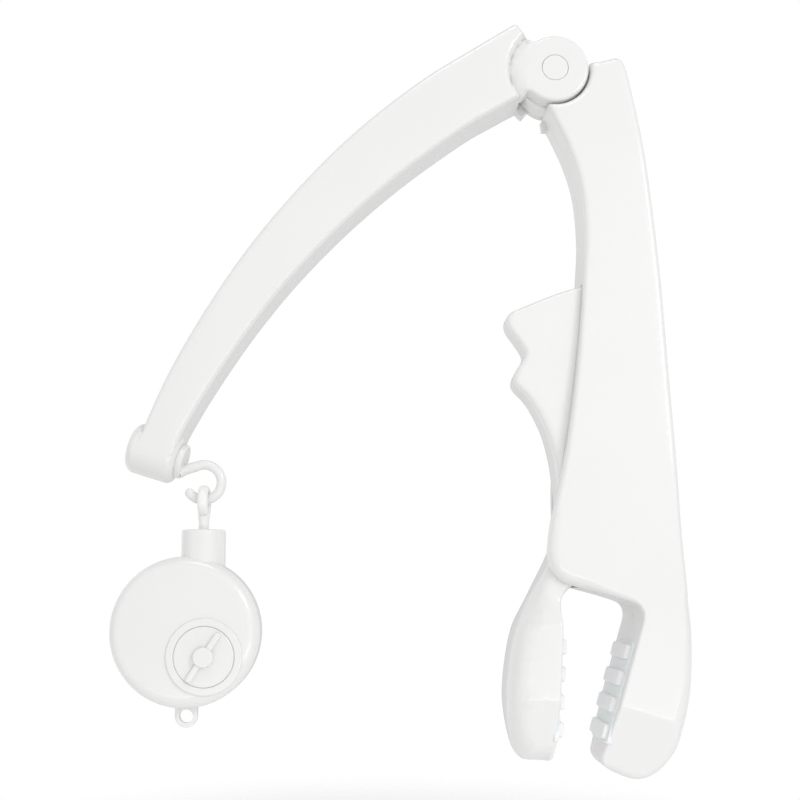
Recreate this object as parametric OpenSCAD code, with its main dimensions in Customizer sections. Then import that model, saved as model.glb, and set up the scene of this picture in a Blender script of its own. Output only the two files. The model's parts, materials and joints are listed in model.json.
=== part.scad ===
// Clip-on holder for a baby mobile: a sprung clamp on a tall post, a folding curved arm,
// a swivelling hook and a round wind-up music pod with a lug for the toys.
// Millimetres. +Z is up, +Y runs from the winding key's side to the back.
// The origin is the centre of the gap between the jaw pads.

/* [Clamp] */
// Half of the jaws' depth, front to back
jaw_half = 20; // [19:0.5:21]
// Wall thickness of the moulded shells
wall = 2.4; // [2:0.2:2.6]
// Radius of the steel pin that the clamp lever turns on
pin_r = 2.5; // [2:0.25:3]
// Height of the ribs on the soft jaw pads
rib_h = 2.2; // [1.8:0.2:2.4]

/* [Arm] */
// Half of the arm's depth, front to back
arm_half = 12; // [11.5:0.5:12.5]
// Radius of the hinge discs
hinge_r = 16.2; // [15.6:0.2:16.4]
// Radius of the release button
button_r = 6.2; // [5.8:0.2:6.4]
// Radius of the hook's wire
hook_wire_r = 2.3; // [2:0.1:2.4]

/* [Music pod] */
// Radius of the round music pod
pod_r = 34.5; // [34:0.5:35]
// Radius of the winding key
key_r = 13.2; // [12.4:0.2:13.4]
// Radius of the hole in the toy lug
lug_hole_r = 3.1; // [2.8:0.1:3.3]

/* [Hidden] */
$fn = 64;

far = 400;
shell = "white";
soft = [0.9, 0.91, 0.92];
steel = "silver";
brass = [0.8, 0.66, 0.35];

// Point on a Catmull-Rom curve between b and c
function curve_point(a, b, c, d, t) =
    0.5 * (2 * b + (c - a) * t + (2 * a - 5 * b + 4 * c - d) * t * t
        + (3 * b - a - 3 * c + d) * t * t * t);
// Smooth curve through the points p, with n steps between neighbours
function spline(p, n = 3) = [
    for (i = [0 : len(p) - 2], k = [0 : n - 1])
        curve_point(p[max(i - 1, 0)], p[i], p[i + 1], p[min(i + 2, len(p) - 1)], k / n),
    p[len(p) - 1]
];
function arc(c, r, from, to, n) = [
    for (i = [0 : n]) let (a = from + (to - from) * i / n) c + r * [cos(a), sin(a)]
];
function unit(v) = v / norm(v);
function right_of(v) = [v.y, -v.x];
function cross2(a, b) = a.x * b.y - a.y * b.x;
function sum(v, i = 0) = i < len(v) ? v[i] + sum(v, i + 1) : 0;
function area(p) = sum([for (i = [0 : len(p) - 1]) cross2(p[i], p[(i + 1) % len(p)])]) / 2;
// Closed outline p moved inwards by d
function inset(p, d) = let (n = len(p), side = area(p) > 0 ? -d : d) [
    for (i = [0 : n - 1])
        let (
            before = right_of(unit(p[i] - p[(i + n - 1) % n])),
            after = right_of(unit(p[(i + 1) % n] - p[i]))
        )
        p[i] + side * (before + after) / (1 + before * after)
];
function polar(c, r, a) = c + r * [cos(a), sin(a)];
function but_last(p) = [for (i = [0 : len(p) - 2]) p[i]];
// Half depths [half, z] made into a closed section, each side moved in by d
function section(p, d = 0) = concat(
    [for (q = p) [q[0] - d, q[1]]],
    [for (i = [len(p) - 1 : -1 : 0]) [d - p[i][0], p[i][1]]]
);

// Outline in the XZ plane given depth from y0 to y1
module slab(y0, y1) {
    translate([0, y1, 0]) rotate([90, 0, 0]) linear_extrude(y1 - y0) children();
}
// Section in the YZ plane run along X
module run_x() {
    translate([-far, 0, 0]) rotate([90, 0, 90]) linear_extrude(2 * far) children();
}
// Round bar along Y at the XZ point c
module rod_y(c, r, y0, y1) {
    translate([c.x, y0, c.y]) rotate([-90, 0, 0]) cylinder(h = y1 - y0, r = r);
}
module ring_y(c, r_out, r_in, y0, y1) {
    difference() {
        rod_y(c, r_out, y0, y1);
        rod_y(c, r_in, y0 - 1, y1 + 1);
    }
}
// Profile [radius, y] turned round the Y axis at the XZ point c
module turn_y(c, profile) {
    translate([c.x, 0, c.y]) rotate([-90, 0, 0]) rotate_extrude() polygon(profile);
}
module front_half() {
    translate([-far, -far, -far]) cube([2 * far, far, 2 * far]);
}
module back_half() {
    translate([-far, 0, -far]) cube([2 * far, far, 2 * far]);
}
// Spur gear with straight-flanked teeth of module 1, axis along Y
module gear_y(c, teeth, y0, y1, turn = 0) {
    root_r = teeth / 2 - 1.25;
    tip_r = teeth / 2 + 0.8;
    slab(y0, y1) translate(c) rotate(turn) toothed_disc(teeth, root_r, tip_r, 0.31, 0.17);
}
// Disc with straight-flanked teeth between two radii; half widths are shares of the tooth pitch
module toothed_disc(teeth, r_root, r_tip, root_share, tip_share) {
    corners = [[r_root, -root_share], [r_tip, -tip_share], [r_tip, tip_share], [r_root, root_share]];
    polygon([for (i = [0 : teeth - 1], q = corners) polar([0, 0], q[0], 360 / teeth * (i + q[1]))]);
}
// Points of a helix along Y round the XZ point c
function helix(c, r, turns, y0, y1, from, per_turn = 16) = [
    for (i = [0 : turns * per_turn])
        let (a = from + 360 * i / per_turn, q = polar(c, r, a))
        [q.x, y0 + (y1 - y0) * i / (turns * per_turn), q.y]
];
// Round wire swept along points that lie nearly in XZ planes
module wire_along(path, r) {
    sides = 6;
    last = len(path) - 1;
    pts = [
        for (i = [0 : last])
            let (
                way = path[min(i + 1, last)] - path[max(i - 1, 0)],
                out = right_of(unit([way.x, way.z]))
            )
            for (k = [0 : sides - 1])
                let (a = 360 * k / sides)
                path[i] + r * [cos(a) * out.x, sin(a), cos(a) * out.y]
    ];
    skin = [
        for (i = [0 : last - 1], k = [0 : sides - 1])
            let (a = i * sides + k, b = i * sides + (k + 1) % sides)
            [a, b, b + sides, a + sides]
    ];
    ends = [[for (k = [sides - 1 : -1 : 0]) k], [for (k = [0 : sides - 1]) last * sides + k]];
    polyhedron(points = pts, faces = concat(skin, ends), convexity = 8);
}
// Pan-head screw along Y, head at y_head, point at y_tip nearer the front
module screw_y(c, y_head, y_tip) {
    difference() {
        union() {
            rod_y(c, screw_head_r, y_head - screw_head_h, y_head);
            rod_y(c, screw_r, y_tip, y_head - screw_head_h);
        }
        for (a = [0, 90])
            translate([c.x, y_head, c.y]) rotate([0, a, 0]) cube([3.4, 2, 0.8], center = true);
    }
}
screw_r = 1.5;
screw_head_r = 2.9;
screw_head_h = 1.8;

// ---- Hinge between post and arm ----
hinge = [-8, 295];
knuckle_half = 4;
ear_gap = 0.4;
seat_r = hinge_r + 1.4;
arm_cut_r = hinge_r + 5.3;
axle_r = 2.5;
pocket_r = 10.4;
spigot_r = 12;
lock_teeth = 20;
// Stop tab on the arm's back half, between two angles round the hinge
arm_tab = [213, 233];

// ---- Post ----
post_inside_edge = [
    [-16.5, 64], [-15, 75], [-11.5, 90], [-7.6, 106], [-3.5, 129], [-0.5, 150], [2, 172],
    [3.8, 194], [4.8, 215], [3.2, 237], [-1, 253], [-6, 265], [-10, 273.5], polar(hinge, seat_r, 257)
];
post_outside_edge = [
    [27.4, 290.7], [33.6, 257.2], [37.3, 225], [40, 190], [42, 143], [43.5, 102],
    [44.6, 70], [46.6, 45], [48, 30], [47.9, 14], [46.7, 0], [43.7, -13.3], [39.2, -25.5], [32, -34.2]
];
post_top_corner = [[13.5, 298.8], [22.4, 301], [24.6, 299.8]];
post_tip = [[23.6, -37.3], [14.5, -34.6], [8.9, -31.2], [7.2, -27.5]];
jaw_face = [[9, -22], [25.8, 34]];
post_throat = [[25.9, 37.4], [23.4, 41], [15.8, 43.8], [6, 46.5], [-5.5, 49.4], [-11, 52], [-15, 57.2]];
post_outline = concat(
    arc(hinge, seat_r, 257, 372, 18),
    post_top_corner,
    spline(concat(post_outside_edge, post_tip)),
    jaw_face,
    post_throat,
    but_last(spline(post_inside_edge))
);
// The same outline with its tight corners cut, for the hollow inside
post_core = concat(
    arc(hinge, seat_r, 257, 372, 10),
    [post_top_corner[1]],
    post_outside_edge,
    [[22, -37], [9, -31]],
    [jaw_face[1], [25, 39.5]],
    [post_throat[2], post_throat[4], [-14.5, 54]],
    but_last(post_inside_edge)
);
post_depths = [
    [arm_half, far], [arm_half, 230], [arm_half + 1, 190], [arm_half + 3.2, 145],
    [jaw_half - 1.8, 105], [jaw_half - 0.4, 70], [jaw_half, 45], [jaw_half, -far]
];
tip_crease = [25, -6.5];
tip_crease_tilt = 17;
tip_half = 11.5;
tip_depths = [[jaw_half, far], [jaw_half, 0], [tip_half, -29], [1, -64]];
post_screw_places = [[15, 258], [34, 76], [27, 2]];
boss_r = 4;
pivot = [7, 80];
// Opening that the lever passes through, seen from the front
mouth_outline = [[-60, 193], [12, 193], [14, 62], [3, 38], [-60, 38]];
// Tongue of the hinge's middle disc that the post's shells clamp
tongue_half = 3.6;
tongue_outline = [[-7, 286], [12, 286], [24, 246], [6, 246]];
// Where the pin's bosses on the post end, beside the lever
pin_boss_y = 16.6;
pin_boss_r = 5;
pin_end = 18.4;
screw_sink = 3;
// The back half stops short of the front one here, beside the lever
back_relief = [[-60, 118], [-7, 118], [-8.5, 95], [-8.5, 40], [-60, 40]];
stop_tab = [[-12.4, 276.2], [-8, 276.2], [-8, 272], [-11.6, 272]];

// ---- Lever ----
lever_handle = [
    [6, 191], [-7, 187], [-16.5, 183.3], [-26, 179.3], [-30.6, 177], [-32, 174], [-31, 170],
    [-27.5, 165], [-24.2, 160], [-23.4, 156.5], [-25.5, 153], [-28.2, 148], [-28.9, 144.5],
    [-27.3, 141.5], [-22.5, 136.3], [-18, 128.5], [-14, 119], [-11, 107], [-9.6, 95], [-9, 85],
    [-10, 74], [-12, 66], [-16, 57]
];
lever_jaw = [
    [-24.8, 41], [-30.2, 28.3], [-33.2, 13.5], [-34.5, 0], [-34.2, -9], [-32.8, -18.2],
    [-30.8, -24.9], [-27.4, -29], [-22.5, -30], [-17, -29.6], [-14.4, -28]
];
lever_jaw_face = [[-12.8, -21], [-10.1, 25]];
lever_inner = [
    [-9.9, 33], [-10.3, 39], [-9.6, 43.4], [-7.7, 46.4], [-5, 48.9], [1, 55], [9, 63],
    [15.5, 71], [17, 80], [15, 89], [11, 97], [8, 110], [6.5, 132], [6, 160]
];
lever_outline = concat(spline(concat(lever_handle, lever_jaw)), lever_jaw_face, spline(lever_inner, 2));
// The same outline with its tight corners cut, for the hollow inside
lever_core = [
    [6, 188], [-16.5, 183.3], [-29, 177], [-29.5, 170], [-22.5, 157], [-27, 146], [-26, 141.5],
    [-18, 128.5], [-11, 107], [-9, 85], [-12, 66], [-24.8, 41], [-33.2, 13.5], [-34.5, 0],
    [-32.8, -18.2], [-27.5, -28.8], [-17, -29], lever_jaw_face[0], lever_jaw_face[1], [-9.9, 33],
    [-9.6, 43.4], [-5, 48.9], [9, 63], [15.5, 71], [17, 80], [11, 97], [6.5, 132]
];
lever_depths = [
    [8, far], [8, 190], [9.6, 150], [13, 110], [15.4, 80], [16, 60], [16.2, 43],
    [jaw_half - 0.4, 31], [jaw_half - 0.4, -1.2], [tip_half, -30], [tip_half, -far]
];
lever_wall = 2.2;
// Open side of the lever, towards the inside of the post
lever_opening = [[0, 188], [30, 188], [30, 66], [6, 66], [-3, 84], [-4, 110], [0, 150]];
lever_boss_r = 5.6;
lever_boss_y = 9;
pin_clear = 0.06;

// ---- Jaw pads ----
pad_base = 2.2;
pad_sunk = 1.6;
pad_half = 15.5;
rib_w = 7;
rib_pitch = 12.3;
rib_half = 13.2;
ribs = 4;

// ---- Arm ----
boss_start = [-208.6, 115.1];
boss_tilt = 17.5;
boss_len = 23.6;
arm_top = [
    [-26, 318.2], [-48.5, 304.4], [-72.7, 288.9], [-102.3, 265], [-128.2, 238.8],
    [-151.6, 210.4], [-171.7, 180.6], [-189, 149.8], [-199.8, 125.6]
];
arm_bottom = [
    [-183, 120], [-171.8, 139.6], [-152.6, 168.6], [-131.2, 195.7], [-106.4, 221.6], [-79.9, 244.8],
    [-51.1, 266], [-36, 275]
];
// Where the arm's edges meet the boss's axis
arm_end = [[-203.9, 113.6], [-187.6, 108.5]];
arm_outline = concat(
    spline(arm_top),
    arm_end,
    spline(arm_bottom),
    arc(hinge, arm_cut_r, 219, 129, 12)
);
arm_wall = 2.2;
neck_half = arm_half - 0.9;
arm_screw_places = [[-46, 286], [-119, 235], [-178, 152]];

// ---- Hook and eye ----
hook_ring = [-174.3, 97.7];
hook_ring_r = 8.3;
hook_tip_angle = 218;
hook_shaft_r = 3;
hook_flange_r = 8.6;
bush_r = 5.4;
bush_len = 9;
stem = [-174, 0];
stem_r = 2.35;
eye_z = 88.6;
eye_ring_r = 5.5;
eye_tube_r = 2.1;
eye_half_w = 3.1;

// ---- Music pod ----
pod = [-181, 28.3];
pod_half = 12;
pod_wall = 2.2;
pod_edge_r = 2;
key = [-171.3, 17.3];
key_ring = [17.4, 13.8];
neck_r = 10.2;
neck_top = 75.3;
neck_bottom = 56;
lug = [-181, -10.6];
lug_r = 5.2;
lug_t = 3.2;
drum_teeth = 28;
cylinder_teeth = 12;
governor_teeth = 8;
cylinder_at = polar(key, (drum_teeth + cylinder_teeth) / 2, 110);
governor_at = polar(key, (drum_teeth + governor_teeth) / 2, 180);
gear_y0 = 1;
gear_y1 = 4;
plate_y = 6;
plate_t = 1.2;
pod_screw_angles = [20, 125, 235];
pod_screw_ring_r = 27;

// ======== Clamp post ========
module post_solid(d = 0) {
    outline = d > 0 ? inset(post_core, d) : post_outline;
    intersection() {
        slab(-jaw_half, jaw_half) polygon(outline);
        run_x() polygon(section(post_depths, d));
        translate([tip_crease.x, 0, tip_crease.y]) rotate([0, tip_crease_tilt, 0])
            run_x() polygon(section(tip_depths, d));
    }
}
// Opening on the lever's side and below it
module lever_mouth() {
    intersection() {
        slab(-jaw_half, jaw_half)
            polygon(mouth_outline);
        run_x() polygon(section(post_depths, wall));
    }
}
module knuckle_tongue(gap = 0) {
    slab(-tongue_half - gap, tongue_half + gap) polygon(inset(tongue_outline, -gap));
}
module post_half() {
    difference() {
        post_solid();
        difference() {
            union() {
                post_solid(wall);
                lever_mouth();
            }
            for (c = post_screw_places)
                rod_y(c, boss_r, -jaw_half, jaw_half);
            ring_y(pivot, pin_boss_r, pin_r, -jaw_half, -pin_boss_y);
            ring_y(pivot, pin_boss_r, pin_r, pin_boss_y, jaw_half);
        }
        knuckle_tongue(0.15);
        for (c = post_screw_places)
            rod_y(c, screw_r + 0.1, -8, jaw_half + 1);
        rod_y(pivot, pin_r, -pin_end, pin_end);
        rod_y(post_screw_places[0], screw_head_r + 0.2, arm_half - 2, jaw_half);
        rod_y(post_screw_places[1], screw_head_r + 0.2, jaw_half - screw_sink, jaw_half + 1);
        rod_y(post_screw_places[2], screw_head_r + 0.2, jaw_half - screw_sink, jaw_half + 1);
        jaw_pad(jaw_face, 1, 0);
    }
}
module post_front_shell() {
    color(shell) intersection() {
        post_half();
        front_half();
    }
}
module post_back_shell() {
    color(shell) union() {
        intersection() {
            post_half();
            back_half();
            slab(0, jaw_half) difference() {
                square(2 * far, center = true);
                polygon(back_relief);
            }
        }
        slab(knuckle_half + ear_gap, 9) polygon(stop_tab);
    }
}
// Soft pad on the jaw face from face[0] up to face[1]; side is +1 where it faces -X
module jaw_pad(face, side, height) {
    lean = atan2(face[1].x - face[0].x, face[1].y - face[0].y);
    first = 2.6;
    length = (ribs - 1) * rib_pitch + 2 * first + rib_w - 2;
    translate([face[0].x, 0, face[0].y]) rotate([0, lean, 0]) mirror([side < 0 ? 1 : 0, 0, 0]) {
        translate([pad_sunk - pad_base, -pad_half, 1]) cube([pad_base, 2 * pad_half, length]);
        if (height > 0)
            for (i = [0 : ribs - 1])
                translate([pad_sunk - pad_base - height, 0, first + rib_w / 2 + i * rib_pitch])
                    pad_rib(height + 0.4);
    }
}
// One rib along Y with round ends, standing out along -X
module pad_rib(height) {
    rotate([0, 90, 0]) union() {
        translate([-rib_w / 2, rib_w / 2 - rib_half, 0])
            cube([rib_w, 2 * rib_half - rib_w, height]);
        for (s = [-1, 1])
            translate([0, s * (rib_half - rib_w / 2), 0]) cylinder(h = height, d = rib_w);
    }
}
module fixed_jaw_pad() {
    color(soft) jaw_pad(jaw_face, 1, rib_h);
}
module jaw_pivot_pin() {
    color(steel) rod_y(pivot, pin_r, 0.1 - pin_end, pin_end - 0.1);
}
// Coil round the pin, with one leg on the post's outside wall and one on the lever's back
module jaw_torsion_spring() {
    coil_r = 5.4;
    wire = 0.8;
    post_leg = [[28.5, -5.4, 82], [20, -5.3, 84]];
    lever_leg = [[-3, 5.3, 88], [-5, 5.4, 90]];
    color(steel) wire_along(concat(post_leg, helix(pivot, coil_r, 5, -5, 5, 75), lever_leg), wire);
}
module post_screws() {
    color(steel) {
        screw_y(post_screw_places[0], arm_half - 0.2, -6);
        screw_y(post_screw_places[1], jaw_half - 1.2, -6);
        screw_y(post_screw_places[2], jaw_half - 1.2, -6);
    }
}

// ======== Hinge ========
// Middle disc of the hinge, with a tongue that the post's shells clamp
module hinge_knuckle() {
    color(shell) difference() {
        union() {
            rod_y(hinge, hinge_r, -knuckle_half, knuckle_half);
            rod_y(hinge, spigot_r, -knuckle_half - 2, -knuckle_half);
            knuckle_tongue();
        }
        rod_y(hinge, pocket_r, -knuckle_half - 3, 0.5);
        rod_y(hinge, axle_r, -knuckle_half, knuckle_half + 1);
        rod_y(post_screw_places[0], screw_r + 0.1, -5, 5);
    }
}
module hinge_axle() {
    color(steel) union() {
        rod_y(hinge, axle_r, -7, 9);
        rod_y(hinge, 4, 9, 10.4);
    }
}
// Toothed ring in the knuckle's pocket, round the lock gear
module detent_ring() {
    color(soft) difference() {
        rod_y(hinge, pocket_r, -5, -2.6);
        slab(-6, -1) translate(hinge) toothed_disc(lock_teeth, 8.6, 9.6, 0.3, 0.2);
    }
}
module release_button() {
    color(shell) difference() {
        union() {
            rod_y(hinge, button_r, -arm_half, -5.4);
            rod_y(hinge, 7.2, -7, -5.4);
        }
        rod_y(hinge, axle_r + 0.4, -10.2, -5);
        rod_y(hinge, 4.6, -9, -5);
    }
}
// Sliding toothed ring pushed by the button
module lock_gear() {
    color(soft) difference() {
        slab(-5.4, -2.9) translate(hinge) toothed_disc(lock_teeth, 7.4, 8.4, 0.25, 0.14);
        rod_y(hinge, 5.2, -6, -2);
    }
}
module button_spring() {
    color(steel) wire_along(helix(hinge, 3.8, 4, -8.4, 0, 0), 0.4);
}
module hinge_back_cap() {
    color(shell) union() {
        rod_y(hinge, button_r, arm_half - 1.4, arm_half - 0.2);
        ring_y(hinge, button_r, 5, arm_half - 2.6, arm_half - 1.3);
    }
}

// ======== Lever ========
module lever_solid(d = 0) {
    outline = d > 0 ? inset(lever_core, d) : lever_outline;
    intersection() {
        slab(-jaw_half, jaw_half) polygon(outline);
        run_x() polygon(section(lever_depths, d));
    }
}
// Handle and moving jaw in one moulding, hollow and open towards the inside of the post
module clamp_lever() {
    color(shell) difference() {
        lever_solid();
        difference() {
            union() {
                lever_solid(lever_wall);
                intersection() {
                    run_x() polygon(section(lever_depths, lever_wall));
                    slab(-jaw_half, jaw_half)
                        polygon(lever_opening);
                }
            }
            ring_y(pivot, lever_boss_r, pin_r, -jaw_half, -lever_boss_y);
            ring_y(pivot, lever_boss_r, pin_r, lever_boss_y, jaw_half);
        }
        rod_y(pivot, pin_r + pin_clear, -jaw_half, jaw_half);
        jaw_pad(lever_jaw_face, -1, 0);
    }
}
module moving_jaw_pad() {
    color(soft) jaw_pad(lever_jaw_face, -1, rib_h);
}

// ======== Arm ========
module along_boss() {
    translate([boss_start.x, 0, boss_start.y]) rotate([0, 90 + boss_tilt, 0]) children();
}
module arm_solid(d = 0) {
    outline = d > 0 ? inset(arm_outline, d) : arm_outline;
    slab(d - arm_half, arm_half - d) polygon(outline);
}
module arm_half_shell(s) {
    y_far = s * arm_half;
    ear_y = s * (knuckle_half + ear_gap);
    difference() {
        union() {
            arm_solid();
            along_boss() cylinder(h = boss_len, r = arm_half);
            slab(min(ear_y, s * neck_half), max(ear_y, s * neck_half)) polygon(concat(
                arc(hinge, arm_cut_r + 1.5, 218, 131, 10), arc(hinge, hinge_r - 3, 127, 222, 10)
            ));
            rod_y(hinge, hinge_r, min(ear_y, y_far), max(ear_y, y_far));
        }
        difference() {
            arm_solid(arm_wall);
            for (c = arm_screw_places)
                rod_y(c, boss_r, -arm_half, arm_half);
            along_boss() cylinder(h = boss_len, r = arm_half);
        }
        along_boss() translate([0, 0, 3]) cylinder(h = boss_len, r = 4.7);
        along_boss() translate([0, 0, boss_len - bush_len]) cylinder(h = bush_len + 1, r = bush_r);
        for (c = arm_screw_places)
            rod_y(c, screw_r + 0.1, -8, arm_half + 1);
        for (c = arm_screw_places)
            rod_y(c, screw_head_r + 0.2, arm_half - 2.2, arm_half + 1);
        if (s > 0) front_half();
        if (s < 0) back_half();
    }
}
module arm_front_shell() {
    color(shell) difference() {
        arm_half_shell(-1);
        rod_y(hinge, button_r + 0.3, -arm_half - 1, 0);
        rod_y(hinge, pocket_r, -7.2, 0);
        ring_y(hinge, spigot_r + 0.1, pocket_r - 1, -6.3, 0);
    }
}
module arm_back_shell() {
    color(shell) difference() {
        union() {
            arm_half_shell(1);
            slab(5, 10.5) polygon(concat(
                arc(hinge, arm_cut_r, arm_tab[1], arm_tab[0], 5),
                arc(hinge, hinge_r + 0.9, arm_tab[0], arm_tab[1] - 2, 5)
            ));
        }
        rod_y(hinge, axle_r + 0.05, 0, arm_half + 1);
        rod_y(hinge, 4.3, 8.7, arm_half + 1);
        rod_y(hinge, button_r, arm_half - 2.6, arm_half + 1);
    }
}
module arm_screws() {
    color(steel) for (c = arm_screw_places)
        screw_y(c, arm_half - 0.4, -6);
}
// Bearing for the hook's shaft, pressed into the arm's end
module hook_bush() {
    color(soft) along_boss() translate([0, 0, boss_len - bush_len]) difference() {
        cylinder(h = bush_len, r = bush_r);
        translate([0, 0, -1]) cylinder(h = bush_len + 2, r = hook_shaft_r + 0.06);
    }
}

// ======== Hook and eye ========
module hook() {
    shank_angle = 110;
    shank_r = hook_wire_r + 0.12;
    shank_end = polar(hook_ring, hook_ring_r, shank_angle);
    tip = polar(hook_ring, hook_ring_r, hook_tip_angle);
    color(shell) union() {
        along_boss() translate([0, 0, boss_len + 0.3]) cylinder(h = 2.6, r = hook_flange_r);
        along_boss() translate([0, 0, 8]) cylinder(h = boss_len - 7, r = hook_shaft_r);
        along_boss() translate([0, 0, 8]) cylinder(h = 2.4, r = 4.3);
        translate([shank_end.x, 0, shank_end.y]) rotate([0, -shank_angle, 0])
            translate([0, 0, -0.6]) cylinder(h = 9.2, r = shank_r);
        translate([hook_ring.x, 0, hook_ring.y]) rotate([90, 0, 0]) rotate([0, 0, hook_tip_angle])
            rotate_extrude(angle = 360 + shank_angle - hook_tip_angle)
                translate([hook_ring_r, 0]) circle(r = hook_wire_r);
        translate([tip.x, 0, tip.y]) sphere(r = hook_wire_r + 0.1);
    }
}
// Ring seen edge-on that hangs on the hook, with the stem that the pod turns on
module eye_stem() {
    color(shell) union() {
        translate([stem.x, stem.y, eye_z]) rotate([0, 90, 0]) rotate_extrude()
            translate([eye_ring_r, 0]) {
                square([2 * eye_tube_r, 2 * (eye_half_w - eye_tube_r)], center = true);
                for (s = [-1, 1])
                    translate([0, s * (eye_half_w - eye_tube_r)]) circle(r = eye_tube_r, $fn = 32);
            }
        translate([stem.x, stem.y, 62]) cylinder(h = eye_z - eye_ring_r - 62, r = stem_r);
        translate([stem.x, stem.y, 66]) cylinder(h = 2.6, r = 4.2);
    }
}
module stem_washer() {
    color(steel) translate([stem.x, stem.y, 68.6]) difference() {
        cylinder(h = 1, r = 5.6);
        translate([0, 0, -1]) cylinder(h = 3, r = stem_r);
    }
}

// ======== Music pod ========
function pod_back_profile(d) = concat(
    [[0, pod_half - d]],
    [for (a = [90 : -10 : 0]) [24 + (pod_r - 24 - d) * cos(a), 2 + (pod_half - 2 - d) * sin(a)]],
    [[pod_r - d, 0], [0, 0]]
);
module pod_front_shell() {
    color(shell) difference() {
        union() {
            difference() {
                turn_y(pod, concat(
                    [[0, -pod_half]],
                    arc([pod_r - pod_edge_r, pod_edge_r - pod_half], pod_edge_r, -90, 0, 6),
                    [[pod_r, 0], [0, 0]]
                ));
                rod_y(pod, pod_r - pod_wall, pod_wall - pod_half, 1);
            }
            for (a = pod_screw_angles)
                rod_y(polar(pod, pod_screw_ring_r, a), 3, 1 - pod_half, 0);
            ring_y(key, key_ring[0], key_ring[1], -pod_half - 1.1, 1 - pod_half);
        }
        rod_y(key, 3.4, -pod_half - 2, 0);
        for (a = pod_screw_angles)
            rod_y(polar(pod, pod_screw_ring_r, a), 1.2, 3 - pod_half, 1);
        translate([stem.x, 0, neck_bottom]) cylinder(h = 20, r = neck_r);
    }
}
module pod_back_shell() {
    color(shell) difference() {
        union() {
            difference() {
                turn_y(pod, pod_back_profile(0));
                turn_y(pod, pod_back_profile(pod_wall));
            }
            for (a = pod_screw_angles)
                rod_y(polar(pod, pod_screw_ring_r, a), 3, 0, pod_half - 1);
            for (c = plate_posts)
                rod_y(c, 2.2, plate_y + plate_t, pod_half - 1);
            slab(0, lug_t) difference() {
                union() {
                    translate(lug) circle(r = lug_r);
                    translate([lug.x - lug_r, lug.y]) square([2 * lug_r, 6]);
                }
                translate(lug) circle(r = lug_hole_r);
            }
        }
        for (a = pod_screw_angles)
            rod_y(polar(pod, pod_screw_ring_r, a), 1.3, -1, pod_half + 1);
        for (a = pod_screw_angles)
            rod_y(polar(pod, pod_screw_ring_r, a), 2.5, pod_half - 3.4, pod_half + 1);
        translate([stem.x, 0, neck_bottom]) cylinder(h = 20, r = neck_r);
    }
}
// Neck that the stem turns in
module neck_collar() {
    color(shell) translate([stem.x, stem.y, neck_bottom]) difference() {
        cylinder(h = neck_top - neck_bottom, r = neck_r);
        translate([0, 0, -1]) cylinder(h = 15, r = 7.6);
        cylinder(h = 40, r = stem_r + 0.08);
    }
}
module pod_screws() {
    color(steel) for (a = pod_screw_angles)
        let (c = polar(pod, pod_screw_ring_r, a)) difference() {
            union() {
                rod_y(c, 1.2, 3.2 - pod_half, pod_half - 3.4);
                rod_y(c, 2.3, pod_half - 3.4, pod_half - 2);
            }
            for (t = [0, 90])
                translate([c.x, pod_half - 2, c.y]) rotate([0, t, 0]) cube([2.8, 1.6, 0.7], center = true);
        }
}

// ======== Wind-up movement ========
plate_posts = [[-197, 24], [-160, 34], [-184, 4]];
module plate_outline() {
    intersection() {
        translate(pod) circle(r = 30.5);
        translate([-201, 0]) square([44, 46]);
    }
}
module movement_plate() {
    color(steel) difference() {
        slab(plate_y, plate_y + plate_t) plate_outline();
        for (c = [key, cylinder_at, governor_at])
            rod_y(c, 1.1, plate_y - 1, plate_y + 3);
        for (a = pod_screw_angles)
            rod_y(polar(pod, pod_screw_ring_r, a), 3.4, plate_y - 1, plate_y + 3);
    }
}
// Front bridge that carries the arbors, on two pillars
module movement_bridge() {
    pillars = [[-188, 27], [-163, 33.5]];
    color(steel) difference() {
        union() {
            slab(-9.6, -8.8) polygon([
                [-192.5, 12], [-186, 12], [-182, 24], [-162, 29.5], [-160, 36.5], [-172, 42], [-184, 40],
                [-192, 29]
            ]);
            for (c = pillars)
                rod_y(c, 1.4, -9, plate_y);
        }
        for (c = [cylinder_at, governor_at])
            rod_y(c, 1.1, -10, -8);
    }
}
module comb() {
    teeth = 14;
    pitch = 0.62;
    color(steel) difference() {
        translate([-199.5, -8.4, cylinder_at.y - 0.4]) cube([14, 8.8, 0.8]);
        for (i = [1 : teeth - 1])
            translate([-193, -8.4 + pitch * i, cylinder_at.y - 1]) cube([8, 0.2, 2]);
    }
}
module comb_block() {
    color(brass) translate([-199.5, -8.4, cylinder_at.y - 4.4]) cube([5.5, 8.4 + plate_y, 4]);
}
module winding_key() {
    bar_angle = 57;
    bar_t = 1.8;
    bar_len = 25;
    color(shell) difference() {
        union() {
            rod_y(key, key_r, -pod_half - 1.2, -pod_half - 0.25);
            rod_y(key, 4.6, -pod_half - 4.2, -pod_half - 1);
            translate([key.x, -pod_half - 2.1, key.y]) rotate([0, -bar_angle, 0])
                cube([bar_len, 2.4, bar_t], center = true);
            rod_y(key, 3.2, -pod_half - 1, -9);
        }
        rod_y(key, 2, -pod_half - 2, -8);
    }
}
module key_arbor() {
    color(steel) rod_y(key, 2, -pod_half - 1.8, 4.4);
}
module spring_drum() {
    color(brass) difference() {
        union() {
            rod_y(key, 11, -8.2, gear_y0);
            gear_y(key, drum_teeth, gear_y0, gear_y1);
        }
        rod_y(key, 2.06, -9, gear_y1 + 1);
    }
}
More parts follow.
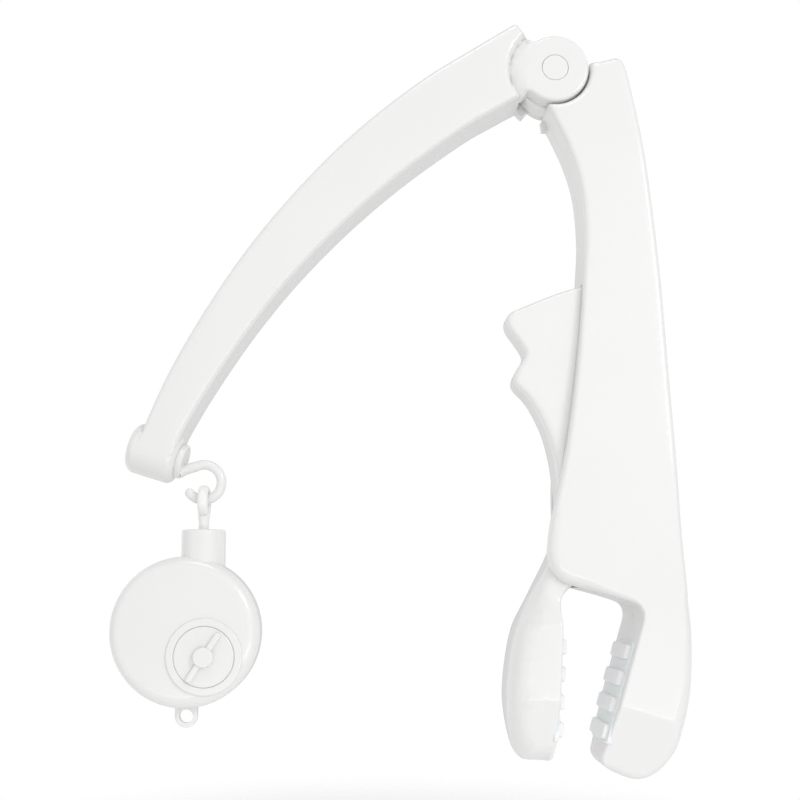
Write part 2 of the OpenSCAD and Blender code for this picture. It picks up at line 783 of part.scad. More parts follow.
// Pinned cylinder; its pinion meshes with the drum
module pin_cylinder() {
    mesh = 110 * (drum_teeth / cylinder_teeth + 1) + 180 + 180 / cylinder_teeth;
    color(brass) union() {
        rod_y(cylinder_at, 6.2, -8.3, 0.4);
        gear_y(cylinder_at, cylinder_teeth, 0, gear_y1, mesh);
        rod_y(cylinder_at, 1, -9.5, plate_y + plate_t);
        for (i = [0 : 35])
            translate([cylinder_at.x, -8 + 0.62 * ((i * 5) % 13), cylinder_at.y])
                rotate([0, 137.5 * i, 0]) cylinder(h = 6.6, r = 0.18, $fn = 16);
    }
}
// Air-brake fan; its pinion meshes with the drum
module governor() {
    mesh = 180 * (drum_teeth / governor_teeth + 1) + 180 + 180 / governor_teeth;
    color(brass) union() {
        gear_y(governor_at, governor_teeth, gear_y0, gear_y1, mesh);
        rod_y(governor_at, 1, -9.5, plate_y + plate_t);
        rod_y(governor_at, 2, -7, gear_y0);
        translate([governor_at.x, -3.6, governor_at.y]) cube([11.6, 5.6, 0.6], center = true);
    }
}

post_front_shell();
post_back_shell();
fixed_jaw_pad();
jaw_pivot_pin();
jaw_torsion_spring();
post_screws();
hinge_knuckle();
hinge_axle();
detent_ring();
clamp_lever();
moving_jaw_pad();
arm_front_shell();
arm_back_shell();
arm_screws();
hinge_back_cap();
button_spring();
hook_bush();
release_button();
lock_gear();
hook();
eye_stem();
stem_washer();
pod_front_shell();
pod_back_shell();
neck_collar();
pod_screws();
movement_plate();
movement_bridge();
comb();
comb_block();
winding_key();
key_arbor();
spring_drum();
pin_cylinder();
governor();
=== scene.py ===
"""Looks of a clip-on holder for a baby mobile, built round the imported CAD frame.

Outlines and sizes are in millimetres in the XZ plane, as in the CAD source; `mesh_object` turns each mesh
into metres, once, when it is made. Joints and boxes of the frame give the places of everything that turns.
"""

import json
import math

import bmesh
import bpy
import numpy as np
from mathutils import Matrix, Vector
from mathutils.geometry import delaunay_2d_cdt


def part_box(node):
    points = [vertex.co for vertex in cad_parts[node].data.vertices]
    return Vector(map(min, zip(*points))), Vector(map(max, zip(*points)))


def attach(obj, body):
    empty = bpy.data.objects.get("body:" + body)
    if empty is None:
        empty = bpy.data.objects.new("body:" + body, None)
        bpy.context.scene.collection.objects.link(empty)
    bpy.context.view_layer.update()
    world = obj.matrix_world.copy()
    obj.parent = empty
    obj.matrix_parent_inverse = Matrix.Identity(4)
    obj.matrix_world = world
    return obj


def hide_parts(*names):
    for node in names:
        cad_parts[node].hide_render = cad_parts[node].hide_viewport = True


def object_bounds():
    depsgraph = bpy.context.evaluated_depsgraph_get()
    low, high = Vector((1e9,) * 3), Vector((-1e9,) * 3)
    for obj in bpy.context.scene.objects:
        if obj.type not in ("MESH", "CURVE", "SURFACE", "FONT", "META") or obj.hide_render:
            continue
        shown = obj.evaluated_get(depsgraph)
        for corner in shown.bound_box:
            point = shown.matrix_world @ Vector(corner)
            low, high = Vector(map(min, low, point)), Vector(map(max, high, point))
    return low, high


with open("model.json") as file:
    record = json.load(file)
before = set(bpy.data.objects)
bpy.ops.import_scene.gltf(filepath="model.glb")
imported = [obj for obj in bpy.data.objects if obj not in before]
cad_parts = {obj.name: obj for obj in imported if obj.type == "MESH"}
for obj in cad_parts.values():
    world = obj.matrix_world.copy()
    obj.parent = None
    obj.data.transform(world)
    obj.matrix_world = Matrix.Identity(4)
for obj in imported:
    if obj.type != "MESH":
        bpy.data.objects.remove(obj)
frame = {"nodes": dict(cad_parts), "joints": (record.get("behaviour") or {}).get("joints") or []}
cad_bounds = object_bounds()

MM = 0.001
STEP = 1.2
JOINTS = {j["name"]: j for j in frame["joints"]}


def joint_at(name):
    """Where a joint turns, as (x, z) in millimetres."""
    x, _, z = JOINTS[name]["pos_m"]
    return x / MM, z / MM


def box_mm(node):
    low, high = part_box(node)
    return low / MM, high / MM


# ---------------------------------------------------------------- curves in the XZ plane
def spline(points, step=STEP):
    """Catmull-Rom curve through the points."""
    p = [np.array(q, float) for q in points]
    out = []
    for i in range(len(p) - 1):
        a, b, c, d = p[max(i - 1, 0)], p[i], p[i + 1], p[min(i + 2, len(p) - 1)]
        n = max(2, round(np.linalg.norm(c - b) / step))
        for k in range(n):
            t = k / n
            bend = (2 * a - 5 * b + 4 * c - d) * t * t + (3 * b - a - 3 * c + d) * t ** 3
            out.append(0.5 * (2 * b + (c - a) * t + bend))
    out.append(p[-1])
    return out


def polar(centre, radius, angle):
    a = math.radians(angle)
    return np.array([centre[0] + radius * math.cos(a), centre[1] + radius * math.sin(a)])


def arc(centre, radius, start, end, step=STEP):
    n = max(3, round(abs(math.radians(end - start)) * radius / step))
    return [polar(centre, radius, start + (end - start) * k / n) for k in range(n + 1)]


def evenly(outline, step=STEP):
    """Closed outline with its points a step apart, counter-clockwise."""
    p = np.array(outline, float)
    if signed_area(p) < 0:
        p = p[::-1]
    p = np.vstack([p, p[:1]])
    length = np.concatenate([[0], np.cumsum(np.linalg.norm(np.diff(p, axis=0), axis=1))])
    at = np.linspace(0, length[-1], max(12, round(length[-1] / step)), endpoint=False)
    return np.stack([np.interp(at, length, p[:, k]) for k in (0, 1)], axis=1)


def softened(outline, width, step=STEP):
    """Closed outline with its corners rounded over about that width."""
    p = evenly(outline, step)
    reach = max(1, math.ceil(2.5 * width / step))
    weights = np.exp(-0.5 * (np.arange(-reach, reach + 1) * step / width) ** 2)
    weights /= weights.sum()
    return sum(w * np.roll(p, k - reach, axis=0) for k, w in enumerate(weights))


def signed_area(p):
    q = np.roll(p, -1, axis=0)
    return 0.5 * float(np.sum(p[:, 0] * q[:, 1] - q[:, 0] * p[:, 1]))


def inward(p):
    way = np.roll(p, -1, axis=0) - np.roll(p, 1, axis=0)
    way /= np.linalg.norm(way, axis=1)[:, None]
    return np.stack([-way[:, 1], way[:, 0]], axis=1)


def distance_to(outline, p):
    """Distance from each point to the closed outline."""
    a = outline[None]
    ab = np.roll(outline, -1, axis=0)[None] - a
    best = []
    for part in np.array_split(p, max(1, len(p) // 800)):
        ap = part[:, None] - a
        t = np.clip((ap * ab).sum(2) / (ab ** 2).sum(2), 0, 1)
        best.append(np.linalg.norm(ap - ab * t[..., None], axis=2).min(1))
    return np.concatenate(best)


def inside(outline, p):
    a, b = outline, np.roll(outline, -1, axis=0)
    x, z = p[:, 0][:, None], p[:, 1][:, None]
    spans = (a[:, 1] > z) != (b[:, 1] > z)
    rise = np.where(b[:, 1] == a[:, 1], 1, b[:, 1] - a[:, 1])
    crossing = a[:, 0] + (z - a[:, 1]) * (b[:, 0] - a[:, 0]) / rise
    return ((spans & (x < crossing)).sum(1) % 2) == 1


def rounded_corners(points, closed=True):
    """Points (x, z, radius) joined by straight lines, with each corner an arc of its radius."""
    out, n = [], len(points)
    for i, (x, z, radius) in enumerate(points):
        here = np.array([x, z], float)
        if radius <= 0 or (not closed and i in (0, n - 1)):
            out.append(here)
            continue
        before = np.array(points[i - 1][:2], float) - here
        after = np.array(points[(i + 1) % n][:2], float) - here
        before /= np.linalg.norm(before)
        after /= np.linalg.norm(after)
        half = math.acos(max(-1, min(1, float(before @ after)))) / 2
        middle = here + (before + after) / np.linalg.norm(before + after) * radius / math.sin(half)
        first = here + before * radius / math.tan(half) - middle
        last = here + after * radius / math.tan(half) - middle
        a, b = math.atan2(first[1], first[0]), math.atan2(last[1], last[0])
        turn = (b - a + math.pi) % (2 * math.pi) - math.pi
        steps = max(3, round(abs(turn) / math.radians(11)))
        out += [middle + radius * np.array([math.cos(a + turn * k / steps), math.sin(a + turn * k / steps)])
                for k in range(steps + 1)]
    return out


# ---------------------------------------------------------------- meshes
def mesh_object(name, verts, faces, place=None):
    """Object with verts in millimetres, moved by `place` (in millimetres) and turned into metres."""
    mesh = bpy.data.meshes.new(name)
    mesh.from_pydata([tuple(v) for v in verts], [], faces)
    obj = bpy.data.objects.new(name, mesh)
    bpy.context.scene.collection.objects.link(obj)
    if place is not None:
        mesh.transform(place)
    mesh.transform(Matrix.Scale(MM, 4))
    bm = bmesh.new()
    bm.from_mesh(mesh)
    bmesh.ops.remove_doubles(bm, verts=bm.verts, dist=2e-6)
    bmesh.ops.recalc_face_normals(bm, faces=bm.faces)
    bm.to_mesh(mesh)
    bm.free()
    return obj


def triangles(p, loop):
    """Triangles over the points p inside the closed loop of their first `loop` points."""
    edges = [(i, (i + 1) % loop) for i in range(loop)]
    flat = [Vector((float(x), float(z))) for x, z in p]
    _, _, faces, origin, _, _ = delaunay_2d_cdt(flat, edges, [], 1, 1e-5)
    old = [o[0] if o else None for o in origin]
    return [tuple(old[v] for v in f) for f in faces if all(old[v] is not None for v in f)]


RING_SHARES = [1 - math.cos(math.radians(a)) for a in (14, 28, 42, 56, 72, 90)]


def moulding(name, outline, depth, edge, back=0.0, side=-1, spacing=3.6, lines=(), chamfer=0.15,
             place=None):
    """Half of a moulding.

    Its face is at y = side * depth(p) with the rim rounded by edge(p), its walls follow the outline and its
    flat back is at y = side * back. `lines` are extra rows of points where the face has a crease.
    """
    n = len(outline)
    facing = inward(outline)
    radius = edge(outline)
    parts = [outline]
    for share in RING_SHARES:
        ring = outline + facing * (radius * share)[:, None]
        keep = inside(outline, ring)
        keep &= distance_to(outline, ring) > 0.97 * radius * share
        parts.append(ring[keep])
    low, high = outline.min(0), outline.max(0)
    rows = np.arange(low[1], high[1], spacing * 0.866)
    grid = np.array([(x, z) for i, z in enumerate(rows)
                     for x in np.arange(low[0] + (i % 2) * spacing / 2, high[0], spacing)])
    extra = np.array([q for row in lines for q in row]).reshape(-1, 2)
    if len(extra):
        parts.append(extra[inside(outline, extra) & (distance_to(outline, extra) > 0.2)])
        gap = np.linalg.norm(grid[:, None] - extra[None], axis=2).min(1)
        grid = grid[gap > 0.45 * spacing]
    grid = grid[inside(outline, grid)]
    parts.append(grid[distance_to(outline, grid) > edge(grid) + 0.45 * spacing])
    p = np.vstack(parts)
    d, r = distance_to(outline, p), edge(p)
    d[:n] = 0
    drop = np.where(d < r, r - np.sqrt(np.maximum(r ** 2 - (r - np.minimum(d, r)) ** 2, 0)), 0)
    verts = [(x, side * y, z) for (x, z), y in zip(p, depth(p) - drop)]
    faces = triangles(p, n)
    m = len(verts)
    verts += [(x, side * (back + chamfer), z) for x, z in outline]
    rim = outline + facing * chamfer
    verts += [(x, side * back, z) for x, z in rim]
    for i in range(n):
        j = (i + 1) % n
        faces.append((i, j, m + j, m + i))
        faces.append((m + i, m + j, m + n + j, m + n + i))
    faces += [tuple(m + n + v for v in f) for f in triangles(rim, n)]
    return mesh_object(name, verts, faces, place)


def turned(name, profile, place, steps=96):
    """Profile [radius, height] turned round the Z axis. Both ends lie on the axis, or it is a closed loop."""
    p = [(max(0.0, float(r)), float(h)) for r, h in profile]
    closed = p[0][0] > 1e-6 or p[-1][0] > 1e-6
    verts, rings = [], []
    for r, h in p:
        if r < 1e-6:
            verts.append((0, 0, h))
            rings.append([len(verts) - 1] * steps)
            continue
        rings.append(list(range(len(verts), len(verts) + steps)))
        verts += [(r * math.cos(2 * math.pi * k / steps), r * math.sin(2 * math.pi * k / steps), h)
                  for k in range(steps)]
    faces = []
    for a, b in zip(rings, rings[1:] + (rings[:1] if closed else [])):
        for k in range(steps):
            j = (k + 1) % steps
            face = list(dict.fromkeys([a[k], a[j], b[j], b[k]]))
            if len(face) > 2:
                faces.append(tuple(face))
    return mesh_object(name, verts, faces, place)


def along_y(centre, y=0.0):
    """Place that stands a turned shape's axis along +Y at the XZ point centre."""
    return Matrix.Translation((centre[0], y, centre[1])) @ Matrix.Rotation(math.radians(-90), 4, "X")


def tube(name, path, radii, sides=32):
    """Round bar along 3D points in millimetres, with a flat face at each end."""
    p = np.array(path, float)
    way = np.gradient(p, axis=0)
    way /= np.linalg.norm(way, axis=1)[:, None]
    out = np.cross(way[0], [0, 1, 0])
    if np.linalg.norm(out) < 1e-3:
        out = np.cross(way[0], [1, 0, 0])
    verts, rings = [], []
    for q, w, r in zip(p, way, radii):
        out = out - w * (out @ w)
        out /= np.linalg.norm(out)
        up = np.cross(w, out)
        rings.append(len(verts))
        for k in range(sides):
            a = 2 * math.pi * k / sides
            verts.append(q + r * (out * math.cos(a) + up * math.sin(a)))
    faces = [(a + k, a + (k + 1) % sides, a + sides + (k + 1) % sides, a + sides + k)
             for a in rings[:-1] for k in range(sides)]
    faces.append(tuple(range(sides)))
    faces.append(tuple(rings[-1] + k for k in reversed(range(sides))))
    return mesh_object(name, verts, faces)


def round_end(centre, way, radius, steps=7):
    """Points and radii that close a tube with half a ball, going outwards along `way`."""
    angles = [math.radians(88 * (k + 1) / steps) for k in range(steps)]
    return ([centre + way * radius * math.sin(a) for a in angles], [radius * math.cos(a) for a in angles])


def combine(obj, other, operation="DIFFERENCE"):
    """Applies a boolean of `other` to obj, then removes `other`."""
    modifier = obj.modifiers.new("combine", "BOOLEAN")
    modifier.operation = operation
    modifier.solver = "EXACT"
    modifier.object = other
    bpy.context.view_layer.update()
    done = bpy.data.meshes.new_from_object(obj.evaluated_get(bpy.context.evaluated_depsgraph_get()))
    obj.modifiers.clear()
    obj.data = done
    done.name = obj.name
    bpy.data.objects.remove(other)
    return obj


def rod(centre, radius, y0, y1, steps=64):
    """Plain cutter along Y."""
    return turned("cutter", [(0, y0), (radius, y0), (radius, y1), (0, y1)], along_y(centre), steps)


def half_space(side):
    """Cutter that holds everything on that side of y = 0."""
    far = 500
    verts = [(x, y, z) for x in (-far, far) for y in (0, side * far) for z in (-far, far)]
    faces = [(0, 1, 3, 2), (4, 6, 7, 5), (0, 4, 5, 1), (2, 3, 7, 6), (0, 2, 6, 4), (1, 5, 7, 3)]
    return mesh_object("cutter", verts, faces)


def profile_table(rows):
    """Smooth function of z from rows of (value, z)."""
    dense = np.array(spline([(z, v) for v, z in sorted(rows, key=lambda q: q[1])], 0.8))
    return lambda z: np.interp(z, dense[:, 0], dense[:, 1])


def even(value):
    """Function of points that is the same everywhere, for a flat face or a rim of one radius."""
    return lambda p: np.full(len(p), value)


def smooth_step(x, low, high):
    t = np.clip((x - low) / (high - low), 0, 1)
    return t * t * (3 - 2 * t)


def finish_piece(obj, body, slot, material, *nodes, sharp=38):
    """Smooth shading with crisp edges above an angle, the material, and the piece's body and CAD nodes."""
    bm = bmesh.new()
    bm.from_mesh(obj.data)
    for edge in bm.edges:
        edge.smooth = not (len(edge.link_faces) == 2 and edge.calc_face_angle(0) > math.radians(sharp))
    for face in bm.faces:
        face.smooth = True
    bm.to_mesh(obj.data)
    bm.free()
    obj.data.materials.clear()
    obj.data.materials.append(material)
    weighted = obj.modifiers.new("even_normals", "WEIGHTED_NORMAL")
    weighted.keep_sharp = True
    weighted.weight = 60
    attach(obj, body)
    if nodes:
        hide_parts(*nodes)
    return obj


# ---------------------------------------------------------------- materials
def node_material(name, base, metallic=0.0, rough=(0.2, 0.3), tint=0.02, grain=900.0, bump=0.02, **fixed):
    """Principled material with small changes of colour and roughness and a fine surface grain."""
    material = bpy.data.materials.new(name)
    material.use_nodes = True
    tree = material.node_tree
    shader = tree.nodes["Principled BSDF"]
    shader.inputs["Metallic"].default_value = metallic
    for socket, value in fixed.items():
        shader.inputs[socket.replace("_", " ")].default_value = value
    place = tree.nodes.new("ShaderNodeTexCoord")
    cloud = noise(tree, place, 28.0, 3.0)
    colour = tree.nodes.new("ShaderNodeValToRGB")
    colour.color_ramp.elements[0].position = 0.3
    colour.color_ramp.elements[0].color = [c * (1 - tint) for c in base] + [1]
    colour.color_ramp.elements[1].position = 0.7
    colour.color_ramp.elements[1].color = list(base) + [1]
    tree.links.new(cloud.outputs["Fac"], colour.inputs["Fac"])
    tree.links.new(colour.outputs["Color"], shader.inputs["Base Color"])
    smear = noise(tree, place, 60.0, 4.0)
    spread = tree.nodes.new("ShaderNodeMapRange")
    spread.inputs["To Min"].default_value = rough[0]
    spread.inputs["To Max"].default_value = rough[1]
    tree.links.new(smear.outputs["Fac"], spread.inputs["Value"])
    tree.links.new(spread.outputs["Result"], shader.inputs["Roughness"])
    fine = noise(tree, place, grain, 2.0)
    height = tree.nodes.new("ShaderNodeBump")
    height.inputs["Strength"].default_value = bump
    height.inputs["Distance"].default_value = 0.0004
    tree.links.new(fine.outputs["Fac"], height.inputs["Height"])
    tree.links.new(height.outputs["Normal"], shader.inputs["Normal"])
    return material


def noise(tree, place, scale, detail):
    texture = tree.nodes.new("ShaderNodeTexNoise")
    texture.inputs["Scale"].default_value = scale
    texture.inputs["Detail"].default_value = detail
    tree.links.new(place.outputs["Object"], texture.inputs["Vector"])
    return texture


WHITE = node_material("gloss_white_abs", (0.80, 0.80, 0.795), rough=(0.16, 0.26), bump=0.03, tint=0.012,
                      Coat_Weight=0.25, Coat_Roughness=0.12)
RESIN = node_material("satin_white_acetal", (0.86, 0.86, 0.85), rough=(0.32, 0.42), bump=0.05, tint=0.02)
PAD = node_material("clear_soft_pad", (0.86, 0.87, 0.875), rough=(0.26, 0.4), bump=0.12, tint=0.04,
                    grain=1400.0, Subsurface_Weight=0.3, Subsurface_Scale=0.004)
STEEL = node_material("zinc_steel", (0.56, 0.57, 0.58), metallic=1.0, rough=(0.28, 0.45),
                      tint=0.12, bump=0.1)
PLATE = node_material("nickel_sheet", (0.66, 0.66, 0.65), metallic=1.0, rough=(0.2, 0.34),
                      tint=0.08, bump=0.08)
BRASS = node_material("turned_brass", (0.72, 0.53, 0.24), metallic=1.0, rough=(0.22, 0.36),
                      tint=0.12, bump=0.08)

# ---------------------------------------------------------------- driving sizes
HINGE = joint_at("arm_fold")
KEY = joint_at("key_wind")
HOOK_RING = joint_at("eye_swing")
STEM_X = joint_at("pod_spin")[0]
JAW_HALF = -box_mm("post_front_shell")[0].y
ARM_HALF = -box_mm("arm_front_shell")[0].y
HINGE_R = box_mm("hinge_knuckle")[1].z - HINGE[1]
SEAT_R = HINGE_R + 0.9
BARREL_R = HINGE_R + 1.6
NECK_R = HINGE_R + 5.3
KNUCKLE_HALF = box_mm("hinge_knuckle")[1].y
KNUCKLE_GAP = 0.15
CAP_LOW, CAP_HIGH = box_mm("hinge_back_cap")
BUTTON_R = (CAP_HIGH.x - CAP_LOW.x) / 2
BUTTON_GAP = 0.15
SCREW_HOLE_R = 3.1
STOP_RIM_R = 0.6

# ---------------------------------------------------------------- outlines, in millimetres (x, z)
ARM_TOP = [(-26, 318.2), (-48.5, 304.4), (-72.7, 288.9), (-102.3, 265), (-128.2, 238.8),
           (-151.6, 210.4), (-171.7, 180.6), (-189, 149.8), (-199.8, 125.6)]
ARM_BOTTOM = [(-183, 120), (-171.8, 139.6), (-152.6, 168.6), (-131.2, 195.7), (-106.4, 221.6), (-79.9, 244.8),
              (-51.1, 266), (-36, 275)]
ARM_END = [(-203.9, 113.6), (-187.6, 108.5)]
ARM_SCREWS = [(-46, 286), (-119, 235), (-178, 152)]
BOSS_START = (-208.6, 115.1)
BOSS_TILT = 17.5
BOSS_LEN = 23.6

POST_INSIDE = [(-16.5, 64), (-15, 75), (-11.5, 90), (-7.6, 106), (-3.5, 129), (-0.5, 150), (2, 172),
               (3.8, 194), (4.8, 215), (3.2, 237), (-1, 253), (-6, 265), (-10, 273.5),
               tuple(polar(HINGE, SEAT_R, 257))]
POST_OUTSIDE = [(27.4, 290.7), (33.6, 257.2), (37.3, 225), (40, 190), (42, 143), (43.5, 102), (44.6, 70),
                (46.6, 45), (48, 30), (47.9, 14), (46.7, 0), (43.7, -13.3), (39.2, -25.5), (32, -34.2)]
POST_TOP = [(13.5, 298.8), (21, 300.7), (23.2, 300.5), (24.7, 299.2), (25.7, 296.6)]
POST_TIP = [(23.6, -37.3), (14.5, -34.6), (8.9, -31.2), (7.2, -27.5)]
JAW_FACE = [(9, -22), (25.8, 34)]
POST_THROAT = [(25.9, 37.4), (23.4, 41), (15.8, 43.8), (6, 46.5), (-5.5, 49.4), (-11, 52), (-15, 57.2)]
POST_STOP = [(-12.4, 276), (-7, 276), (-7, 271.5), (-11.8, 271.5)]
POST_STOP_Y = (4.5, 9.0)
BACK_EDGE = [(-8.5, 40), (-8.5, 95), (-7, 118), (-60, 119)]
POST_DEPTHS = [(ARM_HALF, 300), (ARM_HALF, 260), (ARM_HALF, 230), (ARM_HALF + 1, 190), (ARM_HALF + 3.2, 145),
               (JAW_HALF - 1.8, 105), (JAW_HALF - 0.4, 70), (JAW_HALF, 45), (JAW_HALF, 0), (JAW_HALF, -50)]
POST_SCREWS = [(15, 258), (34, 76), (27, 2)]
TIP_CREASE = (25, -6.5)
TIP_TILT = 17
TIP_FALL = 8.5 / 29
BEVEL_CREASE = [(46.6, 52), (43.9, 42), (43.8, 26), (42.1, 5), (37.8, -11), (30.5, -30)]
BEVEL_FALL = 0.42

LEVER_HANDLE = [(6, 191), (-7, 187), (-16.5, 183.3), (-26, 179.3), (-30.6, 177), (-32, 174), (-31, 170),
                (-27.5, 165), (-24.2, 160), (-23.4, 156.5), (-25.5, 153), (-28.2, 148), (-28.9, 144.5),
                (-27.3, 141.5), (-22.5, 136.3), (-18, 128.5), (-14, 119), (-11, 107), (-9.6, 95), (-9, 85),
                (-10, 74), (-12, 66), (-16, 57)]
LEVER_JAW = [(-24.8, 41), (-30.2, 28.3), (-33.2, 13.5), (-34.5, 0), (-34.2, -9), (-32.8, -18.2),
             (-30.8, -24.9), (-27.4, -29), (-22.5, -30), (-17, -29.6), (-14.4, -28)]
LEVER_FACE = [(-12.8, -21), (-10.1, 25)]
LEVER_INNER = [(-9.9, 33), (-10.3, 39), (-9.6, 43.4), (-7.7, 46.4), (-5, 48.9), (1, 55), (9, 63),
               (15.5, 71), (17, 80), (15, 89), (11, 97), (8, 110), (6.5, 132), (6, 160)]
LEVER_WAIST_HALF = 14.6
LEVER_DEPTHS = [(8, 200), (8, 185), (8.8, 150), (10.2, 118), (12.6, 92), (14.2, 68),
                (LEVER_WAIST_HALF, 56), (LEVER_WAIST_HALF, 44), (LEVER_WAIST_HALF, -40)]
LEVER_JAW_HALF = JAW_HALF - 0.4
FLARE_Z = (43.5, 31.8)
FLARE_RISE = (LEVER_JAW_HALF - LEVER_WAIST_HALF) / (FLARE_Z[0] - FLARE_Z[1])
LEVER_CREASE_Z = -1.2
LEVER_FALL = 8.1 / 28.8
LEVER_HOLLOW = [(0, 186), (30, 186), (30, 68), (8, 68), (0, 84), (-3.5, 110), (-1, 150)]
LEVER_WALL = 2.4
LEVER_ROOM = 0.45

post_depth = profile_table(POST_DEPTHS)
lever_depth = profile_table(LEVER_DEPTHS)


def soft_min(a, b, width):
    return 0.5 * (a + b - np.sqrt((a - b) ** 2 + width ** 2))


def soft_max(a, b, width):
    return -soft_min(-a, -b, width)


def below_crease(p, at, tilt):
    """Distance below the crease line that runs through `at`, tilted down to the right."""
    t = math.radians(tilt)
    return -((p[:, 0] - at[0]) * math.sin(t) + (p[:, 1] - at[1]) * math.cos(t))


def crease_rows(at, tilt, length=45, offsets=(-0.7, 0, 0.7), gap=2.2):
    t = math.radians(tilt)
    along, across = np.array([math.cos(t), -math.sin(t)]), np.array([math.sin(t), math.cos(t)])
    return [[np.array(at) + along * s + across * o for s in np.arange(-length, length, gap)] for o in offsets]


def towards(radius, target, share):
    """Radius moved towards the target by a share from 0 to 1."""
    return radius + (target - radius) * share


# ---------------------------------------------------------------- clamp post
POST_RIM = {"plain": 3.0, "by_lever": 2.2, "corner": 5.5, "outside": 3.6, "by_pad": 1.1}


def post_face(p):
    tip = JAW_HALF - TIP_FALL * below_crease(p, TIP_CREASE, TIP_TILT)
    rows = np.array(BEVEL_CREASE)[::-1]
    bevel = JAW_HALF - BEVEL_FALL * (p[:, 0] - np.interp(p[:, 1], rows[:, 1], rows[:, 0], right=99))
    return np.minimum(soft_min(soft_min(post_depth(p[:, 1]), tip, 0.25), bevel, 0.25), JAW_HALF - 0.05)


def post_edge(p):
    """Radius of the post's front and back rims: soft on the outside, tighter by the lever and the pads."""
    x, z = p[:, 0], p[:, 1]
    by_lever = smooth_step(z, 75, 100) * smooth_step(-z, -215, -195) * smooth_step(-x, -14, -8)
    radius = towards(np.full(len(p), POST_RIM["plain"]), POST_RIM["by_lever"], by_lever)
    corner = smooth_step(-z, -90, -66) * smooth_step(-x, -14, 2)
    radius = towards(radius, POST_RIM["corner"], corner)
    outside = smooth_step(x, 32, 38) * smooth_step(-z, -60, -40)
    radius = towards(radius, POST_RIM["outside"], outside)
    (face_x, face_z), face_lean = JAW_FACE[0], 0.3
    past_face = -(x - (face_x + (z - face_z) * face_lean))
    by_pad = smooth_step(past_face, -6, -3) * smooth_step(-z, -46, -36) * smooth_step(x, 2, 8)
    return towards(radius, POST_RIM["by_pad"], by_pad)


def post_outline(side):
    raw = arc(HINGE, SEAT_R, 257, 372) + [np.array(q) for q in POST_TOP]
    raw += spline(POST_OUTSIDE + POST_TIP)
    raw += [np.array(q) for q in JAW_FACE] + spline(POST_THROAT)
    raw += spline(POST_INSIDE)[:-1]
    if side > 0:
        limit = np.array(BACK_EDGE)
        raw = [np.array([max(x, np.interp(z, limit[:, 1], limit[:, 0], left=-60)), z]) for x, z in raw]
    return softened(raw, 0.8)


def crease_along(points, offsets=(-0.7, 0, 0.7)):
    """Rows of points on and beside a crease that runs through the points."""
    line = np.array(spline(points, 1.8))
    way = np.gradient(line, axis=0)
    way /= np.linalg.norm(way, axis=1)[:, None]
    across = np.stack([-way[:, 1], way[:, 0]], axis=1)
    return [line + across * o for o in offsets]


POST_CAVITY = [(-60, 190.6), (33, 190.6), (36, 143), (38.5, 100), (40, 75), (24, 72), (17.5, 68.6),
               (10.3, 61.2), (2.4, 53.2), (-3.4, 47.2), (-3.4, 38), (-60, 38)]


def post_half(side):
    outline = post_outline(side)
    name = "post_front_cover" if side < 0 else "post_back_cover"
    rows = crease_rows(TIP_CREASE, TIP_TILT) + crease_along(BEVEL_CREASE)
    half = moulding(name, outline, post_face, post_edge, side=side, lines=rows)
    cavity = evenly(POST_CAVITY, 3)
    inner = moulding("cutter", cavity, lambda p: lever_depth(p[:, 1]) + LEVER_ROOM, even(0.6),
                     back=-2, side=side, spacing=7)
    half = combine(half, inner)
    if side > 0:
        for place, face in zip(POST_SCREWS, (ARM_HALF, JAW_HALF, JAW_HALF)):
            half = combine(half, rod(place, SCREW_HOLE_R, face - 3, face + 1))
        stop = moulding("stop", evenly(POST_STOP, 0.7), even(POST_STOP_Y[1]), even(STOP_RIM_R),
                        back=POST_STOP_Y[0], side=1, spacing=2)
        half = combine(half, stop, "UNION")
    node = "post_front_shell" if side < 0 else "post_back_shell"
    return finish_piece(half, "post", "white_shell", WHITE, node)


post_half(-1)
post_half(1)


# ---------------------------------------------------------------- clamp lever
LEVER_RIM = {"handle": 2.6, "waist": 4.2, "flare": 7.0, "outer_jaw": 12.0, "inner": 2.4, "by_pad": 1.2}


def lever_face(p):
    z = p[:, 1]
    flare = LEVER_WAIST_HALF + FLARE_RISE * (FLARE_Z[0] - z)
    tip = LEVER_JAW_HALF - LEVER_FALL * (LEVER_CREASE_Z - z)
    face = soft_min(soft_max(lever_depth(z), flare, 0.6), np.full(len(z), LEVER_JAW_HALF), 0.2)
    return soft_min(face, tip, 0.2)


def lever_edge(p):
    x, z = p[:, 0], p[:, 1]
    radius = towards(LEVER_RIM["handle"], LEVER_RIM["waist"], smooth_step(-z, -150, -120))
    flare = smooth_step(-x, -6, 0) * smooth_step(-z, -112, -84)
    radius = towards(radius, LEVER_RIM["flare"], flare)
    outer_jaw = smooth_step(-x, 14, 22) * smooth_step(-z, -60, -36)
    radius = towards(radius, LEVER_RIM["outer_jaw"], outer_jaw)
    inner = smooth_step(x, -14, -9) * smooth_step(-z, -62, -50)
    radius = towards(radius, LEVER_RIM["inner"], inner)
    by_pad = smooth_step(x, -18, -15) * smooth_step(-z, -48, -40)
    return towards(radius, LEVER_RIM["by_pad"], by_pad)


